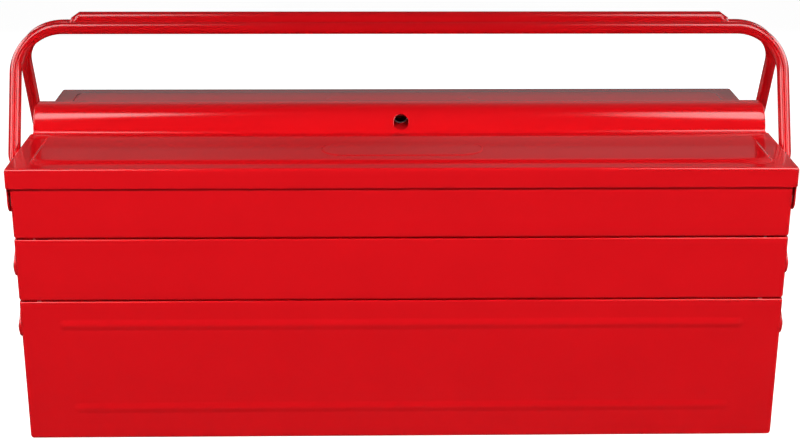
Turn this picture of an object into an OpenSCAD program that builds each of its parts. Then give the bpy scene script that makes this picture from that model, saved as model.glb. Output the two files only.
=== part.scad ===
// Cantilever tool box: a bottom box, two pairs of half-depth trays that spread
// apart on parallel links, two hinged half lids and two swinging handles.
// +X runs along the box, -Y is the front, +Z is up. The origin is on the
// ground under the middle of the box. The rear half mirrors the front half.

/* [Boxes and trays] */
// Outside length of the bottom box and of every tray
box_len = 525; // [440:5:600]
// Outside depth of the bottom box, front to back
box_depth = 206; // [196:2:240]
// Outside height of the bottom box
base_h = 104.4; // [90:0.2:160]
// Outside height of each tray
tray_h = 44.9; // [42:0.1:52]
// Thickness of the sheet in boxes, trays and lids
sheet = 1; // [0.8:0.1:1.2]
// Outside bend radius along the bottom edges
bend_r = 2.5; // [2.3:0.1:4]
// Outside bend radius of the upright corners
corner_r = 2.6; // [2.5:0.1:4]
// Height of the folded hem round each rim
hem_h = 7; // [4:0.5:10]
// Gap between one tray's floor and the rim it stands over
stack_gap = 0.3; // [0.2:0.1:0.6]
// Gap between the front and rear halves
centre_gap = 0.8; // [0.6:0.1:1.6]

/* [Pressed beads] */
// Height of the upper bead above the ground
bead_high_z = 87; // [70:1:88]
// Height of the lower bead above the ground
bead_low_z = 24; // [12:1:40]
// Distance from the ends of the box to the upper bead
bead_high_inset = 25; // [18:1:60]
// Distance from the ends of the box to the lower bead
bead_low_inset = 31; // [18:1:60]
// Radius of the rounded bead
bead_r = 5; // [4:0.5:7]
// Height of the bead's crown above the wall
bead_rise = 1; // [0.6:0.1:1.2]

/* [Links] */
// Width of each link strap
link_w = 15; // [12:0.5:16]
// Thickness of each link strap
link_t = 2.5; // [2:0.1:3]
// Distance from the front of the box to the outer pivots
pivot_inset = 15; // [12:0.5:20]
// Height of the pivots above a tray's floor
tray_pivot_h = 21.5; // [20:0.5:29]
// Gap from the middle of the box to the innermost link
link_side_gap = 4.5; // [3:0.5:6]
// Gap between an end wall and the links
link_gap = 0.8; // [0.5:0.1:1]
// Width of the stiffening groove in a link
groove_w = 5; // [3:0.5:6]
// Depth of the stiffening groove in a link
groove_d = 0.6; // [0.3:0.1:1]
// Extra hole radius at the pivots that only follow
free_play = 0.15; // [0.05:0.05:0.3]

/* [Rivets] */
// Radius of every rivet's shank
shank_r = 2.95; // [2:0.05:3.5]
// Radial clearance of the holes round the shanks
pivot_clear = 0.05; // [0.03:0.01:0.08]
// Radius of the rivet heads
head_r = 5.2; // [4.5:0.1:6]
// Height of the rivet heads
head_h = 1.4; // [1:0.1:1.5]
// Radius of the rivets' shoulders and tails
tail_r = 4.8; // [4.3:0.1:6]
// Height of the rivets' tails inside the walls
tail_h = 1.2; // [0.8:0.1:2]
// Running gap along the rivets, between faces that turn
face_gap = 0.1; // [0.05:0.05:0.15]

/* [Lids] */
// Gap between the front wall and the lid's skirt
lid_gap_front = 1.3; // [1.1:0.1:2]
// Gap between the end walls and the lid's skirt
lid_gap_end = 1.5; // [1.2:0.1:2]
// Gap between the two lids where they meet
lid_meet_gap = 0.6; // [0.4:0.1:1.2]
// Room between the top tray's rim and the lid's underside
lid_room = 4.3; // [3:0.1:6]
// Height of the lid's skirt
skirt_h = 13.6; // [10:0.2:14]
// Bend radius along the lid's top edges
lid_bend_r = 2; // [1.6:0.1:3]
// Radius of the rounded ridge along the lid's inner edge
ridge_r = 17.2; // [14:0.1:18]
// Flat top of the ridge beside the centre line
ridge_flat = 2.2; // [1.6:0.1:4]
// Radius of the hollow where the ridge meets the lid
ridge_fillet = 1.5; // [1:0.5:4]
// Distance from the lid's ends to the ridge's ends
ridge_inset = 2; // [2:0.5:12]
// Rounding of the ridge's ends
ridge_end_r = 1.5; // [1:0.5:8]
// Radius of the padlock hole
lock_r = 5.3; // [3:0.1:5.5]
// Height of the padlock hole above the lid's top
lock_h = 7.2; // [7:0.1:8.5]
// Distance from the box's front to the lid's hinge pivot
ear_inset = 10; // [9:0.5:12]
// Height of the lid's hinge pivot above the top tray's floor
ear_pivot_h = 25.1; // [22:0.1:27]
// Radius of the lid's hinge ears
ear_r = 8; // [6:0.5:9]

/* [Lid embossing] */
// Distance from the lid's ends to the raised field
field_end = 14; // [8:1:40]
// Distance from the lid's front to the raised field
field_front = 10; // [6:1:20]
// Distance from the ridge to the raised field
field_back = 5; // [4:1:15]
// Height of the raised field
field_rise = 1.5; // [1.2:0.1:1.6]
// Width of the slope round the raised field
field_slope = 3; // [3:0.5:8]
// Corner radius of the raised field
field_r = 9; // [5:1:12]
// Length of the bare badge embossing
badge_len = 112; // [60:2:200]
// Width of the bare badge embossing
badge_w = 32; // [16:1:36]
// Distance from the lid's front to the middle of the badge embossing
badge_front = 40; // [36:1:50]
// Height of the bare badge embossing
badge_rise = 0.5; // [0.3:0.1:0.6]
// Width of the slope round the badge embossing
badge_slope = 1.5; // [0.8:0.1:3]

/* [Handles] */
// Radius of the handle rod
rod_r = 4.25; // [3.5:0.25:5]
// Height of the grips above the handle pivots
handle_h = 101.6; // [85:0.1:110]
// Bend radius of the handle at the middle of the rod
handle_bend_r = 36; // [20:1:45]
// Gap between the links and the handle legs
leg_gap = 1.75; // [1.7:0.05:2.5]
// Thickness of the flattened leg ends
paddle_t = 3.2; // [2:0.1:4]
// Radius of the flattened leg ends
paddle_r = 8; // [7:0.5:8.5]
// Length over which the rod changes to the flat end
paddle_len = 20; // [14:1:26]
// Radius of the spacer washers between links and handles
spacer_r = 6; // [5:0.1:7]
// Gap between the two grips when upright
grip_gap = 0.7; // [0.6:0.1:1.2]
// Length of the rolled grip cover
cover_len = 457; // [300:1:465]
// Sheet thickness of the grip cover
cover_t = 0.95; // [0.6:0.05:1.5]
// Height of the hollow above the rod inside the grip cover
cover_room = 4.6; // [1:0.05:6]
// Gap between the cover's lips and the centre line
cover_lip = 0.3; // [0.2:0.05:0.5]

/* [Hidden] */
$fn = 64;
paint = "#cf1219";
zinc = "#b9bcc0";
cut = 1;
seat = 0.05;

// Trays
half_depth = (box_depth - centre_gap) / 2;
half_mid_y = -(box_depth + centre_gap) / 4;
level = tray_h + stack_gap;
middle_z = base_h + stack_gap;
upper_z = middle_z + level;
upper_rim_z = upper_z + tray_h;
wall_x = box_len / 2;

// Pivots, front side, as [y, z]
outer_y = -(box_depth / 2 - pivot_inset);
inner_y = -(link_w / 2 + link_side_gap);
link_step = (inner_y - outer_y) / 2;
mid_y = outer_y + link_step;
middle_pivot_z = middle_z + tray_pivot_h;
base_pivot_z = middle_pivot_z - level;
upper_pivot_z = middle_pivot_z + level;
link_lean = atan(link_step / level);
link_len = norm([link_step, level]);
hole_r = shank_r + pivot_clear;

// Layers outside the end walls
link_x = wall_x + link_gap;
link_out_x = link_x + link_t;
leg_in_x = link_out_x + leg_gap;
leg_x = leg_in_x + rod_r;

// Lids
lid_x = wall_x + lid_gap_end + sheet;
lid_y = box_depth / 2 + lid_gap_front + sheet;
lid_top_z = upper_rim_z + lid_room + sheet;
skirt_z = lid_top_z - skirt_h;
lid_edge_y = -lid_meet_gap / 2;
lip_z = upper_rim_z + stack_gap;
ridge_mid_y = lid_edge_y - ridge_flat;
ridge_front_y = ridge_mid_y - ridge_r;
lock_reach = -ridge_front_y + seat;
ear_y = -(box_depth / 2 - ear_inset);
ear_z = upper_z + ear_pivot_h;
ear_x = lid_x - sheet;
ear_foot = 3;
field_len = 2 * (lid_x - field_end);
field_front_y = -lid_y + field_front;
field_depth = ridge_front_y - field_back - field_front_y;
field_mid_y = field_front_y + field_depth / 2;
badge_y = badge_front - lid_y;

// Handles
grip_y = -(grip_gap / 2 + rod_r);
grip_z = upper_pivot_z + handle_h;
handle_reach = norm([grip_y - mid_y, handle_h]);
handle_tilt = atan((grip_y - mid_y) / handle_h);
cover_r = rod_r + seat;
neck_z = (hole_r + paddle_r) / 2;
neck_w = 2 * sqrt(paddle_r * paddle_r - neck_z * neck_z) - 2 * seat;

// A rectangle with four round corners
module round_rect(length, width, radius) {
  square([length - 2 * radius, width], center = true);
  square([length, width - 2 * radius], center = true);
  for (x = [-1, 1], y = [-1, 1])
    translate([x * (length / 2 - radius), y * (width / 2 - radius)]) circle(radius);
}

// A rectangle standing on the axis with its two bottom corners round
module cup_profile(width, height, radius) {
  translate([-width / 2, radius]) square([width, height - radius]);
  translate([-width / 2 + radius, 0]) square([width - 2 * radius, height]);
  for (x = [-1, 1]) translate([x * (width / 2 - radius), radius]) circle(radius);
}

// Stands a profile up and runs it along X, centred
module along_x(length) {
  rotate([90, 0, 90]) linear_extrude(length, center = true) children();
}

// Stands a profile up and runs it along Y, centred
module along_y(length) {
  rotate([90, 0, 0]) linear_extrude(length, center = true) children();
}

// A block with round upright corners and bent bottom edges
module cup_block(length, width, height, corner, bend) {
  intersection() {
    linear_extrude(height) round_rect(length, width, corner);
    along_x(length + 2 * cut) cup_profile(width, height, bend);
    along_y(width + 2 * cut) cup_profile(length, height, bend);
  }
}

// The hem's section: x runs inwards from the outer face, y is height
module hem_profile(height) {
  translate([0, height - hem_h]) square([2 * sheet, hem_h - sheet]);
  translate([sheet, height - sheet]) circle(sheet);
}

// The folded hem round a rim
module hem(length, width, height) {
  for (side = [0, 180]) rotate([0, 0, side]) {
    translate([0, -width / 2, 0]) rotate([90, 0, 90])
      linear_extrude(length - 2 * corner_r, center = true) hem_profile(height);
    rotate([0, 0, 90]) translate([0, -length / 2, 0]) rotate([90, 0, 90])
      linear_extrude(width - 2 * corner_r, center = true) hem_profile(height);
    for (x = [-1, 1]) translate([x * (length / 2 - corner_r), corner_r - width / 2, 0])
      rotate([0, 0, x > 0 ? 270 : 180]) rotate_extrude(angle = 90)
        translate([corner_r, 0]) mirror([1, 0]) hem_profile(height);
  }
}

// An open tray of bent sheet with a hemmed rim, standing on its own floor
module tray_shell(length, width, height) {
  difference() {
    cup_block(length, width, height - hem_h, corner_r, bend_r);
    translate([0, 0, sheet])
      cup_block(length - 2 * sheet, width - 2 * sheet, height, corner_r - sheet, bend_r - sheet);
  }
  hem(length, width, height);
}

// A round bar with ball ends along X, for a pressed bead
module bead_bar(length, radius) {
  rotate([0, 90, 0]) cylinder(r = radius, h = length, center = true);
  for (x = [-1, 1]) translate([x * length / 2, 0, 0]) sphere(radius);
}

// Places a bead's bar on the front and rear walls of the bottom box
module bead_pair(radius) {
  deep = box_depth / 2 + bead_rise - bead_r;
  for (side = [-1, 1]) {
    translate([0, side * deep, bead_high_z])
      bead_bar(box_len - 2 * (bead_high_inset + bead_r), radius);
    translate([0, side * deep, bead_low_z])
      bead_bar(box_len - 2 * (bead_low_inset + bead_r), radius);
  }
}

// Holes along X through both end walls at a [y, z] pivot
module wall_holes(pivot) {
  translate([0, pivot[0], pivot[1]]) rotate([0, 90, 0])
    cylinder(r = hole_r, h = box_len + 2 * cut, center = true);
}

module bottom_box() {
  color(paint) difference() {
    union() {
      tray_shell(box_len, box_depth, base_h);
      difference() {
        bead_pair(bead_r);
        cube([box_len, box_depth - sheet, 3 * base_h], center = true);
      }
    }
    bead_pair(bead_r - sheet);
    for (side = [-1, 1], y = [outer_y, mid_y]) wall_holes([side * y, base_pivot_z]);
  }
}

module middle_tray() {
  color(paint) difference() {
    translate([0, half_mid_y, middle_z]) tray_shell(box_len, half_depth, tray_h);
    for (y = [outer_y, mid_y, inner_y]) wall_holes([y, middle_pivot_z]);
  }
}

module upper_tray() {
  color(paint) difference() {
    translate([0, half_mid_y, upper_z]) tray_shell(box_len, half_depth, tray_h);
    for (y = [mid_y, inner_y]) wall_holes([y, upper_pivot_z]);
    wall_holes([ear_y, ear_z]);
  }
}

// The lid's pan turned upside down so that its bends are at the top
module lid_pan(inset, depth, bend) {
  intersection() {
    translate([0, 0, lid_top_z - inset]) mirror([0, 0, 1])
      cup_block(2 * (lid_x - inset), 2 * (lid_y - inset), depth, corner_r - inset, bend);
    translate([-lid_x, -lid_y, 0]) cube([2 * lid_x, lid_y + lid_edge_y, 2 * lid_top_z]);
  }
}

// The raised field as a solid block with sloping sides
module field_block(inset) {
  low = lid_top_z - sheet - inset;
  grow = field_slope * (sheet - 0.001) / field_rise;
  hull() {
    translate([0, field_mid_y, low]) linear_extrude(0.001)
      round_rect(field_len + 2 * (grow - inset), field_depth + 2 * (grow - inset), field_r + grow,
                 $fn = 32);
    translate([0, field_mid_y, low + field_rise + sheet - 0.001]) linear_extrude(0.001)
      round_rect(field_len - 2 * (field_slope + inset), field_depth - 2 * (field_slope + inset),
                 field_r - field_slope / 2, $fn = 32);
  }
}

// The bare badge place as a solid obround with a sloping rim, its foot sunk in the field
module badge_block(inset) {
  sunk = sheet / 2;
  height = badge_rise + sunk;
  foot_z = lid_top_z + field_rise - sunk - inset;
  top_r = badge_w / 2 - badge_slope - inset / 2;
  foot_r = top_r + badge_slope * height / badge_rise;
  run = badge_len - badge_w;
  for (x = [-1, 1]) translate([x * run / 2, badge_y, foot_z])
    cylinder(r1 = foot_r, r2 = top_r, h = height);
  translate([0, badge_y, foot_z]) along_x(run)
    polygon([[-foot_r, 0], [foot_r, 0], [top_r, height], [-top_r, height]]);
}

// The ridge as a solid bar, from depth below the lid's top
module ridge_bar(inset, depth) {
  reach = lid_x - ridge_inset - inset;
  top = ridge_r - inset;
  low = lid_top_z - depth;
  intersection() {
    along_x(2 * reach) {
      intersection() {
        translate([ridge_mid_y, lid_top_z]) circle(ridge_r - inset);
        translate([ridge_front_y, low]) square([ridge_r, ridge_r + depth]);
      }
      translate([ridge_front_y + inset, low]) square([ridge_r, depth + 0.001]);
      translate([ridge_mid_y - 0.001, low]) square([ridge_flat - inset, top + depth]);
    }
    translate([0, 0, lid_top_z + top]) mirror([0, 0, 1]) along_y(4 * lid_y)
      cup_profile(2 * reach, 2 * ridge_r, ridge_end_r - inset / 2);
  }
}

// The small hollow fillet along the ridge's foot
module ridge_foot() {
  along_x(2 * (lid_x - ridge_inset - ridge_end_r)) difference() {
    translate([ridge_front_y - ridge_fillet, lid_top_z - sheet / 2])
      square([ridge_fillet + sheet / 2, ridge_fillet + sheet / 2]);
    translate([ridge_front_y - ridge_fillet, lid_top_z + ridge_fillet]) circle(ridge_fillet);
  }
}

// The hinge ear below one end of the lid
module lid_ear() {
  rotate([90, 0, 90]) linear_extrude(sheet) {
    translate([ear_y, ear_z]) circle(ear_r);
    polygon([
      [ear_y - ear_r, ear_z],
      [ear_y + ear_r, ear_z],
      [ear_y + ear_r + ear_foot, skirt_z + sheet],
      [ear_y - ear_r, skirt_z + sheet]
    ]);
  }
}

module half_lid() {
  color(paint) difference() {
    union() {
      lid_pan(0, skirt_h, lid_bend_r);
      field_block(0);
      badge_block(0);
      ridge_bar(0, sheet);
      ridge_foot();
      translate([ear_x, 0, 0]) lid_ear();
      mirror([1, 0, 0]) translate([ear_x, 0, 0]) lid_ear();
    }
    difference() {
      lid_pan(sheet, skirt_h, lid_bend_r - sheet);
      translate([-lid_x, lid_edge_y - sheet, lip_z]) cube([2 * lid_x, 2 * sheet, skirt_h]);
    }
    field_block(sheet);
    badge_block(sheet);
    ridge_bar(sheet, 2 * sheet);
    translate([0, 0, lid_top_z + lock_h]) rotate([90, 0, 0])
      cylinder(r = lock_r, h = 2 * lock_reach, center = true);
    translate([0, ear_y, ear_z]) rotate([0, 90, 0])
      cylinder(r = hole_r, h = 3 * lid_x, center = true);
  }
}

// A handle leg in the handle's own frame: pivot at the origin, grip at +Z
module handle_leg() {
  translate([leg_x, 0, paddle_len]) cylinder(r = rod_r, h = handle_reach - handle_bend_r - paddle_len);
  translate([leg_x - handle_bend_r, 0, handle_reach - handle_bend_r]) rotate([90, 0, 0])
    rotate_extrude(angle = 90) translate([handle_bend_r, 0]) circle(rod_r);
  translate([leg_in_x, 0, 0]) rotate([0, 90, 0]) cylinder(r = paddle_r, h = paddle_t);
  hull() {
    translate([leg_in_x, -neck_w / 2, neck_z]) cube([paddle_t, neck_w, 1]);
    translate([leg_x, 0, paddle_len]) cylinder(r = rod_r - seat, h = 1, $fn = 32);
  }
}

module handle() {
  color(paint) translate([0, mid_y, upper_pivot_z]) rotate([-handle_tilt, 0, 0]) difference() {
    union() {
      handle_leg();
      mirror([1, 0, 0]) handle_leg();
      translate([0, 0, handle_reach]) rotate([0, -90, 0])
        cylinder(r = rod_r, h = 2 * (leg_x - handle_bend_r), center = true);
    }
    rotate([0, 90, 0]) cylinder(r = hole_r, h = 3 * leg_x, center = true);
  }
}

// The grip cover's section round the rear rod
module cover_profile(radius) {
  translate([-grip_y, grip_z]) circle(radius);
  translate([-grip_y, grip_z + cover_room]) circle(radius);
  translate([-grip_y - radius, grip_z]) square([2 * radius, cover_room]);
}

module grip_cover() {
  color(paint) along_x(cover_len) difference() {
    cover_profile(cover_r + cover_t);
    cover_profile(cover_r);
    translate([cover_lip - 2 * grip_z, 0]) square([2 * grip_z, 2 * grip_z]);
  }
}

// A strap from one [y, z] pivot, with count steps to its last pivot
module strap(first, count, free_end) {
  translate([link_x, first[0], first[1]]) rotate([-link_lean, 0, 0]) difference() {
    rotate([90, 0, 90]) linear_extrude(link_t) {
      for (step = [0, count]) translate([0, step * link_len]) circle(link_w / 2);
      translate([-link_w / 2, 0]) square([link_w, count * link_len]);
    }
    for (step = [0:count]) translate([-cut, 0, step * link_len]) rotate([0, 90, 0])
      cylinder(r = hole_r + (step == count ? free_end : 0), h = link_t + 2 * cut);
    for (step = [0:count - 1]) translate([link_t - groove_d, 0, (step + 0.5) * link_len])
      rotate([90, 0, 90]) linear_extrude(cut + groove_d)
        round_rect(groove_w, link_len - 2 * (head_r + groove_w), groove_w / 2 - 0.01);
  }
}

module long_arm() {
  color(paint) strap([outer_y, base_pivot_z], 2, 0);
}

module lower_link() {
  color(paint) strap([mid_y, base_pivot_z], 1, free_play);
}

module upper_link() {
  color(paint) strap([outer_y, middle_pivot_z], 1, free_play);
}

// Half of a rivet's section: x is the radius, y runs outwards from the wall's inside
module rivet_profile(shoulder, head_at) {
  dome_r = (head_r * head_r + head_h * head_h) / (2 * head_h);
  translate([0, -tail_h]) square([tail_r, tail_h]);
  translate([0, -tail_h]) square([shank_r, tail_h + head_at + head_h / 4]);
  translate([0, sheet]) square([tail_r, shoulder]);
  intersection() {
    translate([0, head_at + head_h - dome_r]) circle(dome_r);
    translate([0, head_at]) square([head_r + cut, head_h + cut]);
  }
}

// A shoulder rivet through the right end wall, its head starting at head_x
module rivet(pivot, shoulder_x, head_x) {
  wall_in = wall_x - sheet;
  translate([wall_in, pivot[0], pivot[1]]) rotate([0, 90, 0])
    rotate_extrude() rivet_profile(shoulder_x - wall_x, head_x - wall_in);
}

// Draws its children at both ends of the box
module both_ends() {
  children();
  mirror([1, 0, 0]) children();
}

module link_rivets(ys, z) {
  color(zinc) both_ends() for (y = ys) rivet([y, z], link_x - face_gap, link_out_x + face_gap);
}

module handle_rivets() {
  color(zinc) both_ends()
    rivet([mid_y, upper_pivot_z], link_x - face_gap, leg_in_x + paddle_t + face_gap);
}

module handle_spacers() {
  color(zinc) both_ends() translate([link_out_x + face_gap, mid_y, upper_pivot_z])
    rotate([0, 90, 0]) difference() {
      cylinder(r = spacer_r, h = leg_gap - 2 * face_gap);
      translate([0, 0, -cut]) cylinder(r = hole_r, h = leg_gap + 2 * cut);
    }
}

module lid_rivets() {
  color(zinc) both_ends() rivet([ear_y, ear_z], ear_x - face_gap, lid_x + face_gap);
}

// Draws its children on the rear side
module rear() {
  mirror([0, 1, 0]) children();
}

// Draws its children at the left end
module left() {
  mirror([1, 0, 0]) children();
}

bottom_box();
middle_tray();  // front_middle_tray
upper_tray();  // front_upper_tray
rear() middle_tray();  // rear_middle_tray
rear() upper_tray();  // rear_upper_tray
half_lid();  // front_lid
rear() half_lid();  // rear_lid
handle();  // front_handle
rear() handle();  // rear_handle
grip_cover();
left() long_arm();  // front_long_arm_left
long_arm();  // front_long_arm_right
rear() left() long_arm();  // rear_long_arm_left
rear() long_arm();  // rear_long_arm_right
left() lower_link();  // front_lower_link_left
lower_link();  // front_lower_link_right
rear() left() lower_link();  // rear_lower_link_left
rear() lower_link();  // rear_lower_link_right
left() upper_link();  // front_upper_link_left
upper_link();  // front_upper_link_right
rear() left() upper_link();  // rear_upper_link_left
rear() upper_link();  // rear_upper_link_right
link_rivets([outer_y, mid_y], base_pivot_z);  // front_base_rivets
rear() link_rivets([outer_y, mid_y], base_pivot_z);  // rear_base_rivets
link_rivets([outer_y, mid_y, inner_y], middle_pivot_z);  // front_middle_rivets
rear() link_rivets([outer_y, mid_y, inner_y], middle_pivot_z);  // rear_middle_rivets
link_rivets([inner_y], upper_pivot_z);  // front_upper_rivets
rear() link_rivets([inner_y], upper_pivot_z);  // rear_upper_rivets
handle_rivets();  // front_handle_rivets
rear() handle_rivets();  // rear_handle_rivets
handle_spacers();  // front_handle_spacers
rear() handle_spacers();  // rear_handle_spacers
lid_rivets();  // front_lid_rivets
rear() lid_rivets();  // rear_lid_rivets
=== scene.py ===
import math

import bmesh
import bpy
from mathutils import Matrix, Vector
from mathutils.geometry import tessellate_polygon


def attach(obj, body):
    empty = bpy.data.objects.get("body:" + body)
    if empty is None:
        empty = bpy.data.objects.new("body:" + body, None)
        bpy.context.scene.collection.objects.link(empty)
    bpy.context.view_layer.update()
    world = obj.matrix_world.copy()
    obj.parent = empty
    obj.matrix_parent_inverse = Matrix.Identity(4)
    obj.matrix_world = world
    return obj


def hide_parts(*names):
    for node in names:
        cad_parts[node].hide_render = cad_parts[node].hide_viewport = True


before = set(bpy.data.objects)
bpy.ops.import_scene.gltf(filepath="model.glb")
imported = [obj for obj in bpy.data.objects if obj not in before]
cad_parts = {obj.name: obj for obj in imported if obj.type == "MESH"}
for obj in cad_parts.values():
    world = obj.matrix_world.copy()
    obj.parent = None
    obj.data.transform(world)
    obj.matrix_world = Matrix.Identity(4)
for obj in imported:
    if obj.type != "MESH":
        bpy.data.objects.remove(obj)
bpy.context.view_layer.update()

# The pieces below are in millimetres at rest until a mesh is made; the rear half mirrors the front
mm = 0.001
sheet = 1.0
weld = 0.001  # points nearer than this become one
drillReach = 300.0  # past both ends of the box
sides = {"front": 1, "rear": -1}

# Pivot lines shared by the links, trays, lids and handles, front side
pivots = {
    "outerY": -88.0, "middleY": -50.0, "innerY": -12.0,
    "baseZ": 81.0, "middleZ": 126.2, "upperZ": 171.4,
    "earY": -93.0, "earZ": 175.0,
    "shankRadius": 2.95, "holeRadius": 3.0,
}
basePivots = (("outerY", "baseZ"), ("middleY", "baseZ"))
middlePivots = (("outerY", "middleZ"), ("middleY", "middleZ"), ("innerY", "middleZ"))
handlePivot = (("middleY", "upperZ"),)
innerPivot = (("innerY", "upperZ"),)
earPivot = (("earY", "earZ"),)


# Where named pivots are on one side, as (y, z)
def pivotPlaces(s, names):
    return [(s * pivots[y], pivots[z]) for y, z in names]


def arcPoints(x, y, radius, start, end, steps):
    points = []
    for i in range(steps + 1):
        a = math.radians(start + (end - start) * i / steps)
        points.append((x + radius * math.cos(a), y + radius * math.sin(a)))
    return points


def circlePoints(x, y, radius, count=32):
    return arcPoints(x, y, radius, 0, 360 - 360 / count, count - 1)


def smooth(t):
    t = min(max(t, 0.0), 1.0)
    return t * t * (3 - 2 * t)


# Collects points and faces of one closed or open shell
class Shell:
    def __init__(self):
        self.points = []
        self.faces = []

    def ring(self, points):
        first = len(self.points)
        self.points.extend(points)
        return list(range(first, first + len(points)))

    def bridge(self, a, b, closed=True):
        for i in range(len(a) if closed else len(a) - 1):
            j = (i + 1) % len(a)
            self.faces.append((a[i], a[j], b[j], b[i]))

    def loft(self, rings, closed=True):
        for a, b in zip(rings, rings[1:]):
            self.bridge(a, b, closed)

    def cap(self, ring):
        self.faces.append(tuple(ring))

    # Fills a flat outline that may have holes
    def fill(self, *loops):
        order = [i for loop in loops for i in loop]
        lines = [[Vector(self.points[i]) for i in loop] for loop in loops]
        for triangle in tessellate_polygon(lines):
            self.faces.append(tuple(order[i] for i in triangle))


def linkObject(name, mesh):
    piece = bpy.data.objects.new(name, mesh)
    bpy.context.scene.collection.objects.link(piece)
    return piece


# Turns a shell into an object; way maps a point into its place
def makeObject(name, shell, way=None):
    points = [way(p) for p in shell.points] if way else shell.points
    mesh = bpy.data.meshes.new(name)
    mesh.from_pydata([Vector(p) * mm for p in points], [], shell.faces)
    made = bmesh.new()
    made.from_mesh(mesh)
    bmesh.ops.remove_doubles(made, verts=made.verts, dist=weld * mm)
    bmesh.ops.recalc_face_normals(made, faces=made.faces)
    made.to_mesh(mesh)
    made.free()
    return linkObject(name, mesh)


# Maps a front piece to its side
def sideWay(s):
    return lambda p: (p[0], p[1] * s, p[2])


# Cuts pivot holes along X through the whole piece
def addDrill(piece, places):
    drill = Shell()
    for y, z in places:
        circle = circlePoints(y, z, pivots["holeRadius"])
        rings = [drill.ring([(x, v, w) for v, w in circle]) for x in (-drillReach, drillReach)]
        drill.bridge(*rings)
        drill.cap(rings[0])
        drill.cap(rings[1])
    tool = makeObject(piece.name + "Drill", drill)
    cut = piece.modifiers.new("holes", "BOOLEAN")
    cut.operation = "DIFFERENCE"
    cut.solver = "EXACT"
    cut.object = tool
    return tool


# Turns what a piece's modifiers make into its plain mesh
def applyModifiers(piece):
    view = bpy.context.evaluated_depsgraph_get()
    mesh = bpy.data.meshes.new_from_object(piece.evaluated_get(view), depsgraph=view)
    piece.modifiers.clear()
    piece.data = mesh
    mesh.name = piece.name
    return mesh


# The body that a piece rides and the node it stands for
def giveRole(piece, body, node):
    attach(piece, body)
    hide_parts(node)


# Bevels run along edges sharper than the angle, in degrees
bevelLook = {"segments": 2, "angle": 50}


# Bevels and shades a piece, makes it a plain mesh and gives it its paint and role
def finishPiece(piece, material, body, node, bevel=0.0, drill=None):
    if bevel:
        edge = piece.modifiers.new("edges", "BEVEL")
        edge.width = bevel * mm
        edge.segments = bevelLook["segments"]
        edge.limit_method = "ANGLE"
        edge.angle_limit = math.radians(bevelLook["angle"])
    even = piece.modifiers.new("normals", "WEIGHTED_NORMAL")
    even.keep_sharp = True
    piece.data.shade_smooth()
    mesh = applyModifiers(piece)
    if drill:
        bpy.data.objects.remove(drill)
    mesh.materials.clear()
    mesh.materials.append(material)
    giveRole(piece, body, node)


def setSockets(tree, node, sockets):
    for key, value in sockets.items():
        if isinstance(value, Wire):
            tree.links.new(value.out, node.inputs[key])
        else:
            node.inputs[key].default_value = value


# A value in a shader, or without one the start of a tree; expressions on a value add maths nodes
class Wire:
    def __init__(self, tree, out=None):
        self.tree = tree
        self.out = out

    # Any node: settings as keywords, a ramp's grey stops, then sockets by name or number
    def node(self, kind, sockets, out=0, stops=(), **settings):
        made = self.tree.nodes.new("ShaderNode" + kind)
        for key, value in settings.items():
            setattr(made, key, value)
        for i, (at, value) in enumerate(stops):
            stop = made.color_ramp.elements[i] if i < 2 else made.color_ramp.elements.new(at)
            stop.position = at
            stop.color = grey(value)
        setSockets(self.tree, made, sockets)
        return Wire(self.tree, made.outputs[out] if made.outputs else None)

    def maths(self, operation, first, second=0.0):
        return self.node("Math", {0: first, 1: second}, operation=operation)

    def __add__(self, other):
        return self.maths("ADD", self, other)

    def __radd__(self, other):
        return self.maths("ADD", other, self)

    def __sub__(self, other):
        return self.maths("SUBTRACT", self, other)

    def __rsub__(self, other):
        return self.maths("SUBTRACT", other, self)

    def __mul__(self, other):
        return self.maths("MULTIPLY", self, other)

    def __rmul__(self, other):
        return self.maths("MULTIPLY", other, self)

    def __neg__(self):
        return self * -1.0

    def __abs__(self):
        return self.maths("ABSOLUTE", self)

    def most(self, other):
        return self.maths("MAXIMUM", self, other)

    # A soft step from 0 to 1 as the value passes from low to high
    def step(self, low, high):
        sockets = {"Value": self, "From Min": low, "From Max": high}
        return self.node("MapRange", sockets, interpolation_type="SMOOTHSTEP")

    # From one colour to another by this value; 6 and 7 are the colour sockets of Mix
    def mix(self, first, second):
        return self.node("Mix", {6: first, 7: second, "Factor": self}, out=2, data_type="RGBA")


def grey(value):
    return (value, value, value, 1.0)


def newMaterial(name):
    material = bpy.data.materials.new(name)
    material.use_nodes = True
    tree = material.node_tree
    place = Wire(tree).node("TexCoord", {}, out="Object")
    return material, tree.nodes["Principled BSDF"], place


# Glossy stoving enamel over sheet steel; waves, peel and crown are heights in millimetres, and the
# crown rises between two depths from the middle in metres
paint = {
    "broadScale": 9.0, "broadRoughness": 0.4, "peelScale": 700.0, "cloudScale": 26.0, "ior": 1.5,
    "dark": 0.95, "light": 1.04, "roughnessSpread": 0.06, "crownFrom": 0.062, "crownTo": 0.034,
}


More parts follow.
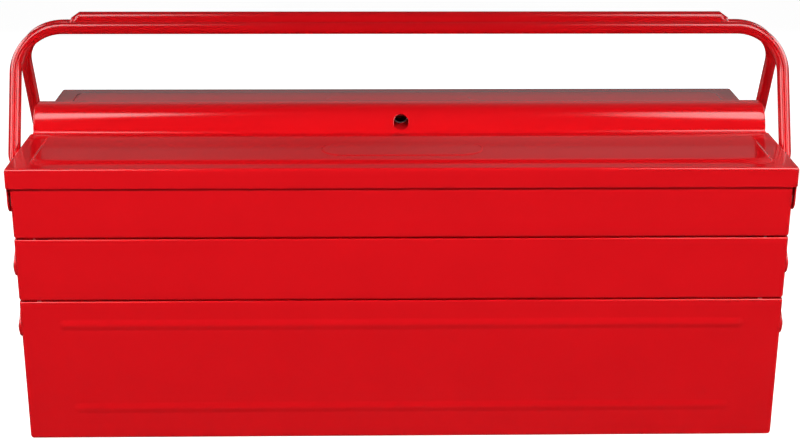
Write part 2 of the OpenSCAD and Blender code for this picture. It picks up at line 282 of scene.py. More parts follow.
def makePaint(name, colour, roughness, waves, peel, crown=0.0):
    material, shader, place = newMaterial(name)
    broad = place.node("TexNoise", {
        "Vector": place, "Scale": paint["broadScale"], "Detail": 1.0, "Roughness": paint["broadRoughness"],
    })
    grain = place.node("TexNoise", {"Vector": place, "Scale": paint["peelScale"], "Detail": 1.0})
    cloud = place.node("TexNoise", {"Vector": place, "Scale": paint["cloudScale"], "Detail": 3.0})
    height = broad * waves + grain * peel
    if crown:
        # The sheet rises faster and faster towards the ridge, which bends the sheen on the field
        depth = abs(place.node("SeparateXYZ", {0: place}, out=1))
        limits = {"Value": depth, "From Min": paint["crownFrom"], "From Max": paint["crownTo"]}
        lean = place.node("MapRange", limits)
        height = height + lean * lean * lean * crown
    dark, light = (tuple(c * paint[k] for c in colour) + (1.0,) for k in ("dark", "light"))
    spread = paint["roughnessSpread"]
    setSockets(place.tree, shader, {
        "Base Color": cloud.mix(dark, light),
        "Roughness": cloud * spread + (roughness - spread / 2),
        "Normal": place.node("Bump", {"Height": height, "Distance": mm}),
        "IOR": paint["ior"],
    })
    return material


# Bright zinc plating with fine turning marks
plating = {
    "markScale": 1800.0, "markHeight": 0.01, "cloudScale": 160.0, "roughness": 0.2, "roughnessSpread": 0.2,
    "dark": (0.50, 0.51, 0.53, 1.0), "light": (0.64, 0.64, 0.63, 1.0),
}


def makeZinc(name):
    material, shader, place = newMaterial(name)
    marks = place.node("TexNoise", {"Vector": place, "Scale": plating["markScale"], "Detail": 2.0})
    cloud = place.node("TexNoise", {"Vector": place, "Scale": plating["cloudScale"], "Detail": 3.0})
    setSockets(place.tree, shader, {
        "Base Color": cloud.mix(plating["dark"], plating["light"]),
        "Roughness": marks * plating["roughnessSpread"] + plating["roughness"],
        "Normal": place.node("Bump", {"Height": marks * plating["markHeight"], "Distance": mm}),
        "Metallic": 1.0,
    })
    return material


red = (0.70, 0.005, 0.009)
boxPaint = makePaint("boxPaint", red, roughness=0.14, waves=0.09, peel=0.0035)
lidPaint = makePaint("lidPaint", red, roughness=0.10, waves=0.06, peel=0.002, crown=1.6)
handlePaint = makePaint("handlePaint", red, roughness=0.13, waves=0.0, peel=0.0012)
# The links get the same red made darker: painted shade, for straps that hang in the shade at the box's ends
linkPaint = makePaint("linkPaint", (0.55, 0.004, 0.008), roughness=0.24, waves=0.0, peel=0.005)
zinc = makeZinc("zincPlate")
print("materials made")

# Bottom box and trays: one skin from the floor's outside over the hem to the floor's inside
tray = {
    "length": 525.0, "corner": 2.6, "leastCorner": 0.1, "bend": 2.5, "hem": 7.0, "hemEdge": 0.3,
    "height": 44.9, "halfY": 51.3, "middleY": -51.7, "levels": (20.0, 34.0),
    "boxHeight": 104.4, "boxHalfY": 103.0,
}
trayFloors = {
    "Middle": (104.7, middlePivots),
    "Upper": (149.9, handlePivot + innerPivot + earPivot),
}


def noPush(x, z):
    return 0.0


# A rectangle with round corners; columns are more points along its front and rear, which push moves out
def roundedRing(halfX, halfY, radius, z, middleY=0.0, steps=8, columns=(), push=noPush):
    x = halfX - radius
    y = halfY - radius
    ring = [(c, -halfY - push(c, z)) for c in columns]
    ring += arcPoints(x, -y, radius, -90, 0, steps) + arcPoints(x, y, radius, 0, 90, steps)
    ring += [(c, halfY + push(c, z)) for c in reversed(columns)]
    ring += arcPoints(-x, y, radius, 90, 180, steps) + arcPoints(-x, -y, radius, 180, 270, steps)
    return [(a, b + middleY, z) for a, b in ring]


def trayShell(floorZ, height, halfY, middleY, levels, columns=(0.0,), push=noPush):
    halfX = tray["length"] / 2
    bend = tray["bend"]
    edge = tray["hemEdge"]
    hemFoot = height - tray["hem"]

    # The skin's section as (inset from the outside, height)
    skin = arcPoints(bend, bend, bend, -90, -180, 5)
    skin += [(0.0, z) for z in levels] + [(0.0, hemFoot)]
    skin += arcPoints(sheet, height - sheet, sheet, 180, 0, 8)
    skin += [(2 * sheet, hemFoot + edge), (2 * sheet - edge, hemFoot), (sheet, hemFoot)]
    skin += [(sheet, z) for z in reversed(levels)]
    skin += arcPoints(bend, bend, bend - sheet, -180, -90, 5)

    shell = Shell()
    rings = []
    for inset, z in skin:
        radius = max(tray["corner"] - inset, tray["leastCorner"])
        points = roundedRing(halfX - inset, halfY - inset, radius, floorZ + z, middleY, 5, columns, push)
        rings.append(shell.ring(points))
    shell.loft(rings)
    shell.cap(rings[0])
    shell.cap(rings[-1])
    return shell


# Pressed beads along the front and rear of the bottom box; the skin has a finer grid at their ends
beads = {
    "high": (87.0, 232.5), "low": (24.0, 226.5), "halfWidth": 4.6, "rise": 1.0,
    "pitch": 0.7, "rows": 17, "columns": 31, "columnsFrom": 218.4,
    "under": 10.0, "between": 50.0, "over": 94.5,
}


def beadPush(x, z):
    push = 0.0
    for level, reach in (beads["high"], beads["low"]):
        away = math.hypot(max(abs(x) - reach, 0.0), z - level)
        t = min(away / beads["halfWidth"], 1.0)
        push = max(push, beads["rise"] * (0.5 + 0.5 * math.cos(math.pi * t)))
    return push


def beadRows(level):
    first = level - beads["pitch"] * (beads["rows"] - 1) / 2
    return [first + beads["pitch"] * i for i in range(beads["rows"])]


beadColumns = [beads["columnsFrom"] + beads["pitch"] * i for i in range(beads["columns"])]
beadColumns = [-x for x in reversed(beadColumns)] + [0.0] + beadColumns
beadLevels = [beads["under"]] + beadRows(beads["low"][0]) + [beads["between"]]
beadLevels += beadRows(beads["high"][0]) + [beads["over"]]

boxShell = trayShell(0.0, tray["boxHeight"], tray["boxHalfY"], 0.0, beadLevels, beadColumns, beadPush)
bottomBox = makeObject("bottomBoxShell", boxShell)
drill = addDrill(bottomBox, pivotPlaces(1, basePivots) + pivotPlaces(-1, basePivots))
finishPiece(bottomBox, boxPaint, "base", "bottom_box", drill=drill)

for side, s in sides.items():
    for level, (floorZ, names) in trayFloors.items():
        shell = trayShell(floorZ, tray["height"], tray["halfY"], tray["middleY"] * s, tray["levels"])
        piece = makeObject(side + level + "Tray", shell)
        drill = addDrill(piece, pivotPlaces(s, names))
        node = f"{side}_{level.lower()}_tray"
        finishPiece(piece, boxPaint, node, node, drill=drill)
print("trays made")

# Half lids: pan, raised field, bare badge place and ridge as one skin, then given its thickness
lid = {
    "halfX": 265.0, "frontY": -105.3, "backY": -0.3, "top": 200.1, "skirtZ": 186.5, "lipZ": 195.1,
    "corner": 2.6, "bend": 2.0, "earRadius": 8.0, "edge": 0.28, "levelNormal": 0.9,
    "sideYs": (-40.0, -82.0, -101.0), "frontXs": (-130.0, 0.0, 130.0),
    "fieldX": 251.0, "fieldFront": -97.5, "fieldBack": -24.7, "fieldRise": 1.5, "fieldCorner": 10.0,
    "fieldSlope": 3.0, "fieldFrontSlope": 11.0,
    "badgeX": 56.0, "badgeY": -65.3, "badgeRadius": 16.0, "badgeRise": 0.5, "badgeSlope": 1.5,
    "badgeFlat": 0.01,
    "ridgeRadius": 17.2, "ridgeY": -2.5, "ridgeX": 262.5, "ridgeEnd": 0.9, "fillet": 3.0,
    "ridgeCorner": 1.2, "cornerShare": 0.55, "ridgeXs": (30.0, 100.0, 200.0),
    "holeRadius": 5.3, "holeHeight": 7.2,
    "patch": 10.0, "patchLow": 0.75, "patchHigh": 13.8, "patchSteps": (0.3, 0.55, 0.75, 0.9, 1.0),
}


# An open line round a lid from its back left end by the front to its back right end
def lidRing(halfX, frontY, backY, radius, z, sideYs, frontXs, steps=6):
    x = halfX - radius
    y = frontY + radius
    ring = [(-halfX, backY)] + [(-halfX, v) for v in sideYs]
    ring += arcPoints(-x, y, radius, 180, 270, steps)
    ring += [(v, frontY) for v in frontXs]
    ring += arcPoints(x, y, radius, -90, 0, steps)
    ring += [(halfX, v) for v in reversed(sideYs)] + [(halfX, backY)]
    return [(a, b, z) for a, b in ring]


# The ridge's front face as y for a height above the lid's top
def ridgeFace(height):
    r = lid["ridgeRadius"]
    f = lid["fillet"]
    centre = lid["ridgeY"] - math.sqrt((r + f) ** 2 - f * f)
    if height < f * r / (r + f):
        return centre + math.sqrt(max(f * f - (f - height) ** 2, 0.0))
    return lid["ridgeY"] - math.sqrt(max(r * r - height * height, 0.0))


# The ridge's half length, which rounds off near its top
def ridgeEndX(height):
    end = lid["ridgeEnd"]
    low = lid["ridgeRadius"] - end
    if height < low:
        return lid["ridgeX"]
    return lid["ridgeX"] - end + math.sqrt(max(end * end - (height - low) ** 2, 0.0))


def panRings(shell):
    bend = lid["bend"]
    backY = ridgeFace(0) + lid["ridgeCorner"]
    profile = [(0.0, lid["skirtZ"]), (0.0, lid["lipZ"])]
    profile += arcPoints(bend, lid["top"] - bend, bend, 180, 90, 5)
    pan = []
    for inset, z in profile:
        halfX = lid["halfX"] - inset
        frontY = lid["frontY"] + inset
        line = lidRing(halfX, frontY, backY, lid["corner"] - inset, z, lid["sideYs"], lid["frontXs"])
        pan.append(shell.ring(line))
    shell.loft(pan, closed=False)
    return pan


# Hinge ears hang from the skirt between the last two sideYs
def hangEars(shell, skirt):
    for x, low in ((-lid["halfX"], skirt[2:4]), (lid["halfX"], skirt[-4:-2])):
        ear = arcPoints(pivots["earY"], pivots["earZ"], lid["earRadius"], 0, -180, 14)
        loop = shell.ring([(x, y, z) for y, z in ear])
        ends = low if shell.points[low[0]][1] > shell.points[low[1]][1] else low[::-1]
        shell.cap([ends[0]] + loop + [ends[1]])


# Raised field with the badge place on it; gives back the field's foot
def raiseField(shell):
    fieldY = (lid["fieldFront"] + lid["fieldBack"]) / 2
    halfDepth = (lid["fieldBack"] - lid["fieldFront"]) / 2
    fieldSteps = 8
    field = []
    for i in range(fieldSteps + 1):
        t = i / fieldSteps
        inset = lid["fieldSlope"] * t
        front = lid["fieldFrontSlope"] * t
        z = lid["top"] + lid["fieldRise"] * smooth(t)
        depth = halfDepth - (inset + front) / 2
        middle = fieldY + (front - inset) / 2
        loop = roundedRing(lid["fieldX"] - inset, depth, lid["fieldCorner"] - inset, z, middle)
        field.append(shell.ring(loop))
    shell.loft(field)
    badgeSteps = 4
    badge = []
    for i in range(badgeSteps + 1):
        t = i / badgeSteps
        inset = lid["badgeSlope"] * t
        z = lid["top"] + lid["fieldRise"] + lid["badgeRise"] * smooth(t)
        radius = lid["badgeRadius"] - inset
        loop = roundedRing(lid["badgeX"] - inset, radius, radius - lid["badgeFlat"], z, lid["badgeY"])
        badge.append(shell.ring(loop))
    shell.loft(badge)
    shell.fill(field[-1], badge[0])
    shell.cap(badge[-1])
    return field[0]


# Heights of the ridge's lines above the lid's top: up the foot's fillet, then round to the crest
def ridgeHeights():
    f = lid["fillet"]
    r = lid["ridgeRadius"]
    footSteps = 6
    crestSteps = 28
    reach = math.acos(f / (r + f))
    heights = [f * (1 - math.cos(reach * i / footSteps)) for i in range(footSteps + 1)]
    first = math.asin(heights[-1] / r)
    rest = math.pi / 2 - first
    return heights + [r * math.sin(first + rest * i / crestSteps) for i in range(1, crestSteps + 1)]


# Ridge with the padlock hole; gives back its lines and the hole as (x, height)
def raiseRidge(shell):
    top = lid["top"]
    heights = ridgeHeights()
    patch = lid["patch"]
    patchCount = 10
    cornerSteps = 8
    patchXs = [-patch + 2 * patch * i / patchCount for i in range(patchCount + 1)]
    columns = [-x for x in reversed(lid["ridgeXs"])] + patchXs + list(lid["ridgeXs"])
    ridge = []
    for height in heights:
        y = ridgeFace(height)
        radius = min(lid["ridgeCorner"], (lid["backY"] - y) * lid["cornerShare"])
        line = lidRing(ridgeEndX(height), y, lid["backY"], radius, top + height, (), columns, cornerSteps)
        ridge.append(shell.ring(line))

    # The lines are joined, but for an opening that a patch with the round hole fills
    left = 1 + (cornerSteps + 1) + len(lid["ridgeXs"])
    right = left + patchCount
    low = min(range(len(heights)), key=lambda k: abs(heights[k] - lid["patchLow"]))
    high = min(range(len(heights)), key=lambda k: abs(heights[k] - lid["patchHigh"]))
    for k, (a, b) in enumerate(zip(ridge, ridge[1:])):
        for i in range(len(a) - 1):
            if not (left <= i < right and low <= k < high):
                shell.faces.append((a[i], a[i + 1], b[i + 1], b[i]))
    loop = ridge[low][left:right + 1] + [ridge[k][right] for k in range(low + 1, high)]
    loop += ridge[high][left:right + 1][::-1] + [ridge[k][left] for k in range(high - 1, low, -1)]
    outline = [(shell.points[i][0], shell.points[i][2] - top) for i in loop]
    hole = []
    for x, h in outline:
        a = math.atan2(h - lid["holeHeight"], x)
        hole.append((lid["holeRadius"] * math.cos(a), lid["holeHeight"] + lid["holeRadius"] * math.sin(a)))
    rings = [loop]
    for t in lid["patchSteps"]:
        mixed = [(x + (u - x) * t, h + (v - h) * t) for (x, h), (u, v) in zip(outline, hole)]
        rings.append(shell.ring([(x, ridgeFace(h), top + h) for x, h in mixed]))
    shell.loft(rings)
    shell.cap(ridge[-1])
    return ridge, hole


def lidShell():
    shell = Shell()
    pan = panRings(shell)
    hangEars(shell, pan[0])
    field = raiseField(shell)
    ridge, hole = raiseRidge(shell)
    shell.fill(pan[-1] + ridge[0][1:-1][::-1], field)

    # Upright inner flange along the meeting edge, with the hole again
    inner = shell.ring([(x, lid["backY"], lid["top"] + h) for x, h in hole])
    lip = shell.ring([(x, lid["backY"], lid["lipZ"]) for x in (-ridgeEndX(0), ridgeEndX(0))])
    outer = [lip[0]] + [ring[0] for ring in ridge] + [ring[-1] for ring in reversed(ridge)] + [lip[1]]
    shell.fill(outer, inner)
    return shell


# The top's faces look up before the sheet gets its thickness
def turnUp(mesh):
    level = [face for face in mesh.polygons if abs(face.normal.z) > lid["levelNormal"]]
    if max(level, key=lambda face: face.area).normal.z < 0:
        mesh.flip_normals()


for side, s in sides.items():
    piece = makeObject(side + "HalfLid", lidShell(), sideWay(s))
    turnUp(piece.data)
    solid = piece.modifiers.new("sheet", "SOLIDIFY")
    solid.thickness = sheet * mm
    solid.offset = -1.0
    solid.use_even_offset = True
    solid.use_quality_normals = True
    drill = addDrill(piece, pivotPlaces(s, earPivot))
    node = side + "_lid"
    finishPiece(piece, lidPaint, node, node, lid["edge"], drill)
print("lids made")

# Handles: a rod that flattens to a disc at each pivot
handle = {
    "rod": 4.25, "bend": 32.0, "legX": 271.8, "gripY": -4.6, "gripZ": 273.0, "around": 32, "edge": 0.2,
    "discX": 267.55, "discThick": 3.2, "discRadius": 8.0,
    "discFrom": 4.0, "discStep": 11.5, "discSteps": 8,
    "neckFrom": 4.2, "neckWide": 6.81, "neckTo": 22.0, "legEnd": 10.0, "square": 7.0, "round": 2.0,
}


# Sections of the right leg up to the grip: middle x, middle z, half thickness, half width, squareness, turn
def legSections(reach):
    rod = handle["rod"]
    disc = handle["discRadius"]
    half = handle["discThick"] / 2
    square = handle["square"]
    discX = handle["discX"] + half
    legX = handle["legX"]
    neck = handle["neckFrom"]
    wide = handle["neckWide"]
    neckSteps = 12
    narrowSteps = 9  # the sides come in sooner than the faces go out
    bendSteps = 24
    sections = []
    for i in range(handle["discSteps"] + 1):
        a = math.radians(handle["discFrom"] + handle["discStep"] * i)
        sections.append((discX, -disc * math.cos(a), half, disc * math.sin(a), square, 0.0))
    sections.append((discX, neck, half, math.sqrt(disc * disc - neck * neck), square, 0.0))
    for i in range(1, neckSteps + 1):
        t = smooth(i / neckSteps)
        z = neck + (handle["neckTo"] - neck) * i / neckSteps
        narrowed = wide + (rod - wide) * smooth(i / narrowSteps)
        squareness = square + (handle["round"] - square) * t
        sections.append((discX + (legX - discX) * t, z, half + (rod - half) * t, narrowed, squareness, 0.0))
    straight = reach - handle["bend"]
    sections.append((legX, straight - handle["legEnd"], rod, rod, handle["round"], 0.0))
    for i in range(bendSteps + 1):
        a = math.radians(90 * i / bendSteps)
        x = legX - handle["bend"] * (1 - math.cos(a))
        sections.append((x, straight + handle["bend"] * math.sin(a), rod, rod, handle["round"], a))
    return sections


def handleShell():
    awayY = handle["gripY"] - pivots["middleY"]
    awayZ = handle["gripZ"] - pivots["upperZ"]
    tilt = math.atan2(awayY, awayZ)
    n = handle["around"]
    rings = []
    for x, z, thick, wide, square, turn in legSections(math.hypot(awayY, awayZ)):
        ring = []
        for k in range(n):
            c = math.cos(2 * math.pi * k / n)
            d = math.sin(2 * math.pi * k / n)
            u = thick * math.copysign(abs(c) ** (2 / square), c)
            v = wide * math.copysign(abs(d) ** (2 / square), d)
            ring.append((x + u * math.cos(turn), v, z + u * math.sin(turn)))
        rings.append(ring)
    rings += [[(-x, y, z) for x, y, z in ring] for ring in reversed(rings)]
    shell = Shell()
    indices = [shell.ring(ring) for ring in rings]
    shell.loft(indices)
    shell.cap(indices[0])
    shell.cap(indices[-1])

    # The handle leans from its pivot to the grip beside the middle
    shell.points = [
        (x, pivots["middleY"] + y * math.cos(tilt) + z * math.sin(tilt),
         pivots["upperZ"] - y * math.sin(tilt) + z * math.cos(tilt))
        for x, y, z in shell.points
    ]
    return shell


for side, s in sides.items():
    piece = makeObject(side + "HandleRod", handleShell(), sideWay(s))
    drill = addDrill(piece, pivotPlaces(s, handlePivot))
    node = side + "_handle"
    finishPiece(piece, handlePaint, node, node, handle["edge"], drill)

# Grip cover: sheet rolled over the rear rod, its lips turned to the middle, pinched down at its ends
cover = {
    "halfX": 228.5, "y": 4.6, "lowZ": 273.0, "highZ": 277.6, "outer": 5.25, "inner": 4.32, "edge": 0.2,
    "lipY": 0.3, "lip": 0.52, "pinch": 6.0, "pinchZ": 273.4,
}


# Half of the cover's section, from its upper lip over the top and under the rod
def coverLine(radius, highZ):
    swing = math.degrees(math.acos((cover["y"] - cover["lipY"]) / radius))
    lipZ = cover["lowZ"] + (highZ - cover["lowZ"]) * cover["lip"]
    high = arcPoints(cover["y"], highZ, radius, 180, 0, 24)
    low = arcPoints(cover["y"], cover["lowZ"], radius, 0, -180 + swing, 22)
    return [(cover["y"] - radius, lipZ)] + high + low


def coverShell():
    shell = Shell()
    rings = []
    pinched = cover["halfX"] + cover["pinch"]
    for x in (-pinched, -cover["halfX"], 0.0, cover["halfX"], pinched):
        highZ = cover["pinchZ"] if abs(x) == pinched else cover["highZ"]
        profile = coverLine(cover["outer"], highZ) + coverLine(cover["inner"], highZ)[::-1]
        rings.append(shell.ring([(x, y, z) for y, z in profile]))
    shell.loft(rings)
    shell.fill(rings[0])
    shell.fill(rings[-1])
    return shell


gripCover = makeObject("gripCover", coverShell())
finishPiece(gripCover, handlePaint, "rear_handle", "grip_cover", cover["edge"])
print("handles made")

# Link straps with a pressed groove between each pair of pivots
link = {
    "innerX": 263.3, "thick": 2.5, "halfWidth": 7.5, "edge": 0.5, "lengthBetween": 59.05,
    "grooveHalf": 2.5, "grooveSlope": 1.6, "grooveDeep": 0.6, "grooveGap": 20.4,
}
straps = {
    "LongArm": ("long_arm", "outerY", "baseZ", 2),
    "LowerLink": ("lower_link", "middleY", "baseZ", 1),
    "UpperLink": ("upper_link", "outerY", "middleZ", 1),
}
lean = math.atan2(pivots["middleY"] - pivots["outerY"], pivots["middleZ"] - pivots["baseZ"])


def obround(radius, start, end, x, steps=16):
    loop = arcPoints(0, start, radius, 180, 360, steps) + arcPoints(0, end, radius, 0, 180, steps)
    return [(x, u, v) for u, v in loop]


# A strap lying along its own length: x through it, then across, then along
def strapShell(count):
    spacing = link["lengthBetween"]
    edge = link["edge"]
    flat = link["halfWidth"] - edge
    rim = arcPoints(flat, edge, edge, -90, 0, 4) + arcPoints(flat, link["thick"] - edge, edge, 0, 90, 4)
    shell = Shell()
    rings = [shell.ring(obround(radius, 0, count * spacing, x)) for radius, x in rim]
    shell.loft(rings)
    backs = []
    fronts = []
    for step in range(count + 1):
        circle = circlePoints(0, step * spacing, pivots["holeRadius"])
        back, front = (shell.ring([(x, u, v) for u, v in circle]) for x in (0.0, link["thick"]))
        shell.bridge(back, front)
        backs.append(back)
        fronts.append(front)
    half = (spacing - link["grooveGap"]) / 2 - link["grooveHalf"]
    grooveSteps = 5
    for step in range(count):
        middle = (step + 0.5) * spacing
        groove = []
        for i in range(grooveSteps + 1):
            radius = link["grooveHalf"] - link["grooveSlope"] * i / grooveSteps
            x = link["thick"] - link["grooveDeep"] * smooth(i / grooveSteps)
            groove.append(shell.ring(obround(radius, middle - half, middle + half, x, 10)))
        shell.loft(groove)
        shell.cap(groove[-1])
        fronts.append(groove[0])
    shell.fill(rings[0], *backs)
    shell.fill(rings[-1], *fronts)
    return shell


# Leans a strap from its first pivot; s is the side and e the end
def strapWay(startY, startZ, s, e):
    def way(p):
        y = startY + p[1] * math.cos(lean) + p[2] * math.sin(lean)
        z = startZ - p[1] * math.sin(lean) + p[2] * math.cos(lean)
        return (e * (link["innerX"] + p[0]), s * y, z)
    return way


for side, s in sides.items():
    for label, (kind, yName, zName, count) in straps.items():
        for end, e in (("Left", -1), ("Right", 1)):
            way = strapWay(pivots[yName], pivots[zName], s, e)
            piece = makeObject(side + label + end, strapShell(count), way)
            finishPiece(piece, linkPaint, f"{side}_{kind}s", f"{side}_{kind}_{end.lower()}")
print("links made")

# Rivets and washers: one turned profile each, set at every pivot by geometry nodes
rivet = {
    "wallX": 261.5, "strapX": 263.2, "strapHeadX": 265.9, "handleHeadX": 270.85,
    "earX": 263.9, "earHeadX": 265.1,
    "headRadius": 5.2, "headHeight": 1.4, "headEdge": 0.15, "tip": 0.4, "around": 40, "sharp": 40,
    "tailRadius": 4.8, "tailHeight": 1.2, "tailRound": 1.0, "shoulderEdge": 0.2,
}
washer = {"hole": 3.02, "radius": 6.0, "edge": 0.3, "thick": 1.55}


def turnedShape(name, profile):
    shell = Shell()
    rings = []
    for radius, height in profile:
        rings.append(shell.ring([(x, y, height) for x, y in circlePoints(0, 0, radius, rivet["around"])]))
    shell.loft(rings)
    if profile[0] == profile[-1]:
        shell.bridge(rings[-1], rings[0])
    else:
        shell.cap(rings[0])
        shell.cap(rings[-1])
    piece = makeObject(name, shell)
    piece.data.shade_smooth()
    piece.data.set_sharp_from_angle(angle=math.radians(rivet["sharp"]))
    return piece


# A rivet's profile from its tail inside the wall over its shoulder to its head, as (radius, height)
def rivetProfile(shoulderX, headX):
    shoulder = shoulderX - rivet["wallX"]
    head = headX - rivet["wallX"]
    shank = pivots["shankRadius"]
    tail = rivet["tailRadius"]
    bend = rivet["tailRound"]
    edge = rivet["shoulderEdge"]
    low = -rivet["tailHeight"]
    rim = rivet["headEdge"]
    headSteps = 8
    points = [(rivet["tip"], low)] + arcPoints(tail - bend, low + bend, bend, -90, 0, 5)[1:]
    points += [(tail, 0.0), (shank, 0.0), (shank, sheet), (tail - edge, sheet)]
    points += [(tail, sheet + edge), (tail, shoulder - edge), (tail - edge, shoulder), (shank, shoulder)]
    points += [(shank, head), (rivet["headRadius"] - rim, head)]
    for i in range(headSteps + 1):
        a = math.radians(90 * i / headSteps)
        radius = rivet["headRadius"] * math.cos(a) if i < headSteps else rivet["tip"]
        points.append((radius, head + rim + (rivet["headHeight"] - rim) * math.sin(a)))
    return points


def washerProfile():
    hole = washer["hole"]
    radius = washer["radius"]
    edge = washer["edge"]
    thick = washer["thick"]
    return [
        (hole, 0.0), (radius - edge, 0.0), (radius, edge), (radius, thick - edge), (radius - edge, thick),
        (hole, thick), (hole, 0.0),
    ]


# Puts a shape on every point, its axis pointing out of the nearer end
def instanceTree():
    tree = bpy.data.node_groups.new("setAtPivots", "GeometryNodeTree")
    face = tree.interface
    face.new_socket("Geometry", in_out="INPUT", socket_type="NodeSocketGeometry")
    shape = face.new_socket("Shape", in_out="INPUT", socket_type="NodeSocketObject")
    finish = face.new_socket("Finish", in_out="INPUT", socket_type="NodeSocketMaterial")
    face.new_socket("Geometry", in_out="OUTPUT", socket_type="NodeSocketGeometry")
    source = tree.nodes.new("NodeGroupInput")
    target = tree.nodes.new("NodeGroupOutput")
    points = tree.nodes.new("GeometryNodeMeshToPoints")
    info = tree.nodes.new("GeometryNodeObjectInfo")
    place = tree.nodes.new("GeometryNodeInputPosition")
    split = tree.nodes.new("ShaderNodeSeparateXYZ")
    sign = tree.nodes.new("ShaderNodeMath")
    sign.operation = "SIGN"
    turn = tree.nodes.new("ShaderNodeMath")
    turn.operation = "MULTIPLY"
    turn.inputs[1].default_value = math.pi / 2
    angles = tree.nodes.new("ShaderNodeCombineXYZ")
    instances = tree.nodes.new("GeometryNodeInstanceOnPoints")
    real = tree.nodes.new("GeometryNodeRealizeInstances")
    coat = tree.nodes.new("GeometryNodeSetMaterial")
    for a, b in (
        (source.outputs[0], points.inputs["Mesh"]),
        (source.outputs["Shape"], info.inputs["Object"]),
        (place.outputs[0], split.inputs[0]),
        (split.outputs["X"], sign.inputs[0]),
        (sign.outputs[0], turn.inputs[0]),
        (turn.outputs[0], angles.inputs["Y"]),
        (points.outputs[0], instances.inputs["Points"]),
        (info.outputs["Geometry"], instances.inputs["Instance"]),
        (angles.outputs[0], instances.inputs["Rotation"]),
        (instances.outputs[0], real.inputs[0]),
        (real.outputs[0], coat.inputs["Geometry"]),
        (source.outputs["Finish"], coat.inputs["Material"]),
        (coat.outputs[0], target.inputs[0]),
    ):
        tree.links.new(a, b)
    return tree, shape.identifier, finish.identifier


pivotTree, shapeSocket, finishSocket = instanceTree()


def setAtPivots(name, shape, x, places, body, node):
    mesh = bpy.data.meshes.new(name + "Points")
    mesh.from_pydata([Vector((e * x, y, z)) * mm for e in (-1, 1) for y, z in places], [], [])
    piece = linkObject(name, mesh)
    made = piece.modifiers.new("pivots", "NODES")
    made.node_group = pivotTree
    made[shapeSocket] = shape
    made[finishSocket] = zinc
    bpy.context.view_layer.update()
    applyModifiers(piece)
    giveRole(piece, body, node)


linkRivet = turnedShape("linkRivetShape", rivetProfile(rivet["strapX"], rivet["strapHeadX"]))
handleRivet = turnedShape("handleRivetShape", rivetProfile(rivet["strapX"], rivet["handleHeadX"]))
lidRivet = turnedShape("lidRivetShape", rivetProfile(rivet["earX"], rivet["earHeadX"]))
washerShape = turnedShape("washerShape", washerProfile())
for side, s in sides.items():
    carriers = {"base": "base", "middle": side + "_middle_tray", "upper": side + "_upper_tray"}
    for label, node, shape, x, names, carrier in (
        ("BaseRivets", "base_rivets", linkRivet, rivet["wallX"], basePivots, "base"),
        ("MiddleRivets", "middle_rivets", linkRivet, rivet["wallX"], middlePivots, "middle"),
        ("UpperRivets", "upper_rivets", linkRivet, rivet["wallX"], innerPivot, "upper"),
        ("HandleRivets", "handle_rivets", handleRivet, rivet["wallX"], handlePivot, "upper"),
        ("HandleSpacers", "handle_spacers", washerShape, rivet["strapHeadX"], handlePivot, "upper"),
        ("LidRivets", "lid_rivets", lidRivet, rivet["wallX"], earPivot, "upper"),
    ):
        setAtPivots(side + label, shape, x, pivotPlaces(s, names), carriers[carrier], f"{side}_{node}")
for shape in (linkRivet, handleRivet, lidRivet, washerShape):
    bpy.data.objects.remove(shape)
print("rivets made")

# Pale floor, in metres, a hair under the box; the gloss sees it nearly black
ground = {"half": 9.0, "drop": 0.0002, "albedo": 0.5, "lift": 0.96, "mirrored": 0.04}
corners = [(x * ground["half"], y * ground["half"], 0) for x, y in ((-1, -1), (1, -1), (1, 1), (-1, 1))]
floorMesh = bpy.data.meshes.new("floor")
floorMesh.from_pydata(corners, [], [(0, 1, 2, 3)])
floor = linkObject("floor", floorMesh)
floor.location.z = -ground["drop"]
floorMaterial = bpy.data.materials.new("floorPaper")
floorMaterial.use_nodes = True
floorMaterial.node_tree.nodes.clear()
start = Wire(floorMaterial.node_tree)
eye = start.node("LightPath", {}, out="Is Camera Ray")
gloss = start.node("LightPath", {}, out="Is Glossy Ray")
paper = start.node("BsdfDiffuse", {"Color": grey(ground["albedo"])})
lift = start.node("Emission", {"Color": grey(1.0), "Strength": eye * ground["lift"]})
lit = start.node("AddShader", {0: paper, 1: lift})
dark = start.node("Emission", {"Color": grey(1.0), "Strength": ground["mirrored"]})
start.node("OutputMaterial", {"Surface": start.node("MixShader", {0: gloss, 1: lit, 2: dark})})
floorMesh.materials.append(floorMaterial)

# Soft light for the surfaces, in metres and watts; the lamps themselves are not mirrored
lampAim = (0.0, 0.0, 0.12)
lampSpread = 120
lamps = {
    "high": {
        "place": (0.0, -0.85, 0.85), "size": (1.6, 0.2), "power": 2.0,
        "aim": (0.0, -0.12, 0.17), "spread": 34,
    },
    "front": {"place": (0.0, -1.4, 0.35), "size": (2.0, 0.5), "power": 0.7},
    "back": {"place": (0.0, 1.3, 0.35), "size": (1.6, 0.3), "power": 3.6},
    "left": {"place": (-1.3, -0.1, 0.3), "size": (0.7, 0.3), "power": 1.2},
    "right": {"place": (1.3, -0.1, 0.3), "size": (0.7, 0.3), "power": 1.2},
}
for name, lamp in lamps.items():
    light = bpy.data.lights.new(name + "Light", "AREA")
    light.shape = "RECTANGLE"
    light.size, light.size_y = lamp["size"]
    light.energy = lamp["power"]
    light.spread = math.radians(lamp.get("spread", lampSpread))
    light.cycles.use_multiple_importance_sampling = False  # it would leave faint mirrored lines
    holder = linkObject(name + "Light", light)
    holder.location = lamp["place"]
    aim = Vector(lamp.get("aim", lampAim)) - Vector(lamp["place"])
    holder.rotation_euler = aim.to_track_quat("-Z", "Y").to_euler()
    holder.visible_glossy = False
print("floor and lamps made")

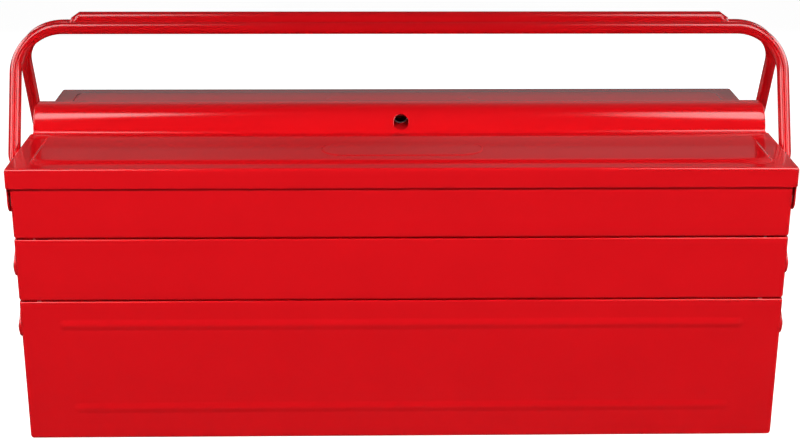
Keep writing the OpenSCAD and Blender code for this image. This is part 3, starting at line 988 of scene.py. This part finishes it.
# The air: white to the eye, even for the fill light, and for gloss a dim back wall, two side panels
# and a bright flank at each end. Pairs are a soft step's two ends, across, along or up a direction
air = {
    "fill": 0.04, "front": 0.03, "panel": 7.0, "flank": 7.0, "wallAlong": (-0.2, 0.3),
    "wallUp": (
        (0.0, 0.2), (0.2, 0.32), (0.25, 0.38), (0.28, 0.13),
        (0.38, 0.15), (0.55, 0.26), (0.7, 0.08), (1.0, 0.05),
    ),
    "dim": 0.55, "dimUp": (0.26, 0.285),
    "lessRight": 0.5, "rightAcross": (-0.03, 0.10), "lessLeft": 0.25, "leftAcross": (0.03, 0.15),
    "endDim": 0.6, "endAcross": (0.205, 0.222),
    "panelLeft": (0.09, 0.17), "panelRight": (0.135, 0.225), "panelOuter": (0.5, 0.42),
    "panelFoot": 96.0, "panelFall": 200.0, "panelSoft": 4.0, "panelHead": (88.0, 78.0),
    "flankAcross": (0.62, 0.8), "flankUp": (0.2, 0.3),
}
world = bpy.data.worlds.new("studioAir")
world.use_nodes = True
bpy.context.scene.world = world
world.node_tree.nodes.clear()
start = Wire(world.node_tree)
eye = start.node("LightPath", {}, out="Is Camera Ray")
gloss = start.node("LightPath", {}, out="Is Glossy Ray")
direction = start.node("TexCoord", {}, out="Generated")
across, along, up = (direction.node("SeparateXYZ", {0: direction}, out=i) for i in range(3))
away = abs(across)

# Back wall, dimmer above a line, most of all in the middle, and dimmer again beyond its left end
wall = up.node("ValToRGB", {0: up}, stops=air["wallUp"]) * along.step(*air["wallAlong"])
dim = air["dim"] - across.step(*air["rightAcross"]) * air["lessRight"]
dim = dim - (-across).step(*air["leftAcross"]) * air["lessLeft"]
wall = wall * (1.0 - up.step(*air["dimUp"]) * dim)
wall = wall * (1.0 - (-across).step(*air["endAcross"]) * air["endDim"])

# Panels to the left and right between a slanting foot and a head; turn is in degrees from the level
# front over the top
turn = up.maths("ARCTAN2", up, -along) * (180 / math.pi)
soft = air["panelSoft"]
panels = (-across).step(*air["panelLeft"]).most(across.step(*air["panelRight"]))
panels = panels * (turn - (air["panelFoot"] - away * air["panelFall"])).step(-soft, soft)
panels = panels * turn.step(*air["panelHead"]) * away.step(*air["panelOuter"])
flanks = away.step(*air["flankAcross"]) * up.step(*air["flankUp"])

mirrored = (wall + air["front"]).most(panels * air["panel"]).most(flanks * air["flank"])
seen = eye.mix(gloss.mix(grey(air["fill"]), mirrored), grey(1.0))
start.node("OutputWorld", {"Surface": start.node("Background", {"Color": seen, "Strength": 1.0})})
bpy.context.scene.view_settings.view_transform = "Standard"
print("air made")

# Camera; its place is in millimetres, its angles in degrees
camera = {
    "place": (-22.0, -1073.9, 507.2), "pitch": 19.602, "yaw": 1.169, "roll": 0.206,
    "sensor": 36.0, "focalPixels": 1529.7, "widePixels": 800,
}
pitch, yaw, roll = (math.radians(camera[k]) for k in ("pitch", "yaw", "roll"))
forward = Vector((math.sin(yaw) * math.cos(pitch), math.cos(yaw) * math.cos(pitch), -math.sin(pitch)))
level = Vector((math.cos(yaw), -math.sin(yaw), 0.0))
upright = level.cross(forward)
right = math.cos(roll) * level + math.sin(roll) * upright
upright = math.cos(roll) * upright - math.sin(roll) * level
lens = bpy.data.cameras.new("camera")
lens.sensor_width = camera["sensor"]
lens.lens = camera["sensor"] * camera["focalPixels"] / camera["widePixels"]
eyePiece = linkObject("camera", lens)
turned = Matrix((right, upright, -forward)).transposed().to_4x4()
eyePiece.matrix_world = Matrix.Translation(Vector(camera["place"]) * mm) @ turned
bpy.context.scene.camera = eyePiece
print("scene made")
